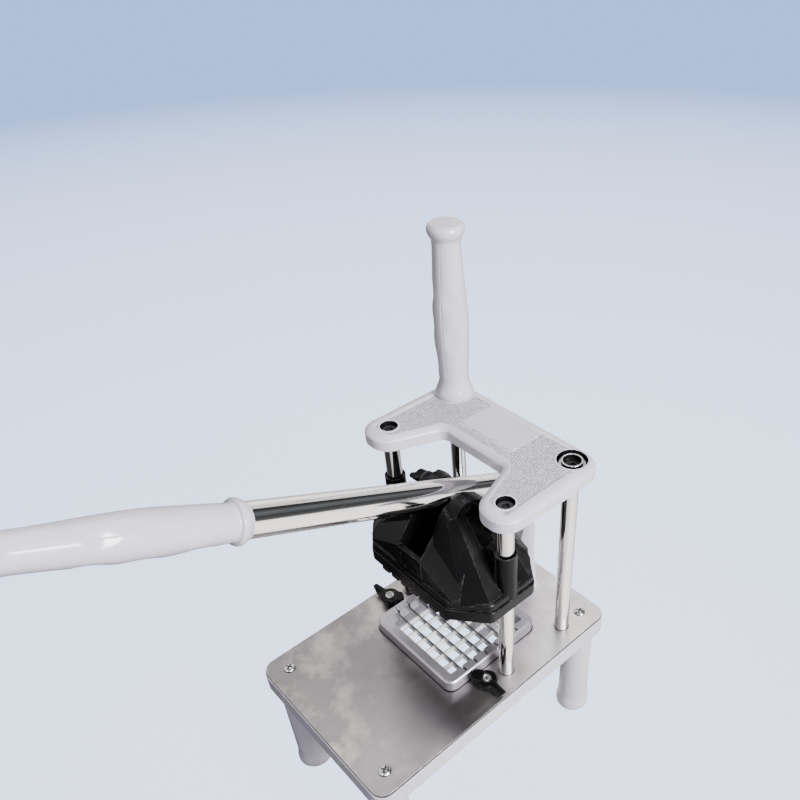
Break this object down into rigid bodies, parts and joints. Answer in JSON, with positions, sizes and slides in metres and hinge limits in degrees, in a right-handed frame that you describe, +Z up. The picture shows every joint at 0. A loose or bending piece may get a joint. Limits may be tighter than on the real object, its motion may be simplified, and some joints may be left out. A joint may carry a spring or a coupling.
{
  "type": "french fry cutter",
  "caption": "Hand-lever potato chipper: a pegged black pusher on two guide rods presses a potato through a square blade grid in a steel-topped stand on legs, with an upright steadying handle.",
  "frame": {"origin": "on the worktop, under the middle of the base plate", "axes": "+Z up from the worktop, +Y to the rear (the lever's grip points to -Y), +X to the right of somebody standing at the grip"},
  "size_m": [0.1862, 0.4269, 0.5025],
  "materials": {
    "brushed_plate": "brushed stainless steel sheet",
    "grey_moulding": "satin light grey moulded plastic",
    "bright_rod": "polished chrome-plated steel",
    "grey_casting": "light grey coating with a pebble grain",
    "blade_alloy": "satin cast alloy",
    "blade_steel": "ground stainless steel",
    "black_moulding": "black satin moulded plastic",
    "black_steel": "black oxide",
    "zinc": "bright zinc plated",
    "bush_nylon": "dark nylon"
  },
  "bodies": {
    "base": {"base_plate": "brushed_plate", "base_frame": "grey_moulding", "leg_front_left": "grey_moulding", "leg_front_right": "grey_moulding", "leg_rear_left": "grey_moulding", "leg_rear_right": "grey_moulding", "leg_screws": "zinc", "guide_rod_left": "bright_rod", "guide_rod_right": "bright_rod", "rear_post_left": "bright_rod", "rear_post_right": "bright_rod", "rod_washers": "zinc", "rod_nuts": "zinc", "top_bracket": "grey_casting", "rod_cap_screws": "black_steel", "handle_socket": "bright_rod", "upright_handle": "grey_moulding", "handle_stud": "zinc", "blade_frame": "blade_alloy", "blades_across": "blade_steel", "blades_along": "blade_steel", "clamp_stud_left": "zinc", "clamp_stud_right": "zinc", "fulcrum_stand": "grey_casting", "fulcrum_pin": "zinc", "pin_clips": "zinc", "stand_screws": "zinc"},
    "knob_left_body": {"knob_left": "black_moulding", "knob_insert_left": "zinc"},
    "knob_right_body": {"knob_right": "black_moulding", "knob_insert_right": "zinc"},
    "carriage": {"carriage_body": "black_moulding", "guide_bush_left": "bush_nylon", "guide_bush_right": "bush_nylon", "pusher_block": "black_moulding", "pusher_screws": "zinc", "pivot_bolt": "black_steel", "pivot_washer": "zinc"},
    "wing_nut_body": {"wing_nut": "black_moulding", "wing_nut_insert": "zinc"},
    "lever": {"lever_tube": "bright_rod", "lever_grip": "grey_moulding", "lever_tail": "zinc", "lever_bush": "bush_nylon", "tail_pins": "zinc"}
  },
  "joints": [
    {"name": "carriage_slide", "type": "slide", "parent": "base", "child": "carriage", "axis": [0, 0, 1], "range_m": [-0.0745, 0.009]},
    {"name": "lever_pivot", "type": "hinge", "parent": "carriage", "child": "lever", "pos_m": [0, 0.0217, 0.3167], "axis": [1, 0, 0], "range_deg": [-6, 48.6]},
    {"name": "knob_left_turn", "type": "hinge", "parent": "base", "child": "knob_left_body", "pos_m": [-0.0705, -0.004, 0.153], "axis": [0, 0, 1], "range_deg": [-55, 105]},
    {"name": "knob_right_turn", "type": "hinge", "parent": "base", "child": "knob_right_body", "pos_m": [0.0705, -0.004, 0.153], "axis": [0, 0, 1], "range_deg": [-100, 50]},
    {"name": "wing_nut_turn", "type": "hinge", "parent": "carriage", "child": "wing_nut_body", "pos_m": [-0.0325, 0.0217, 0.3167], "axis": [1, 0, 0], "continuous": true}
  ],
  "couplings": [
    {"joint": "lever_pivot", "follows": "carriage_slide", "rad_per_m": -11.36}
  ]
}
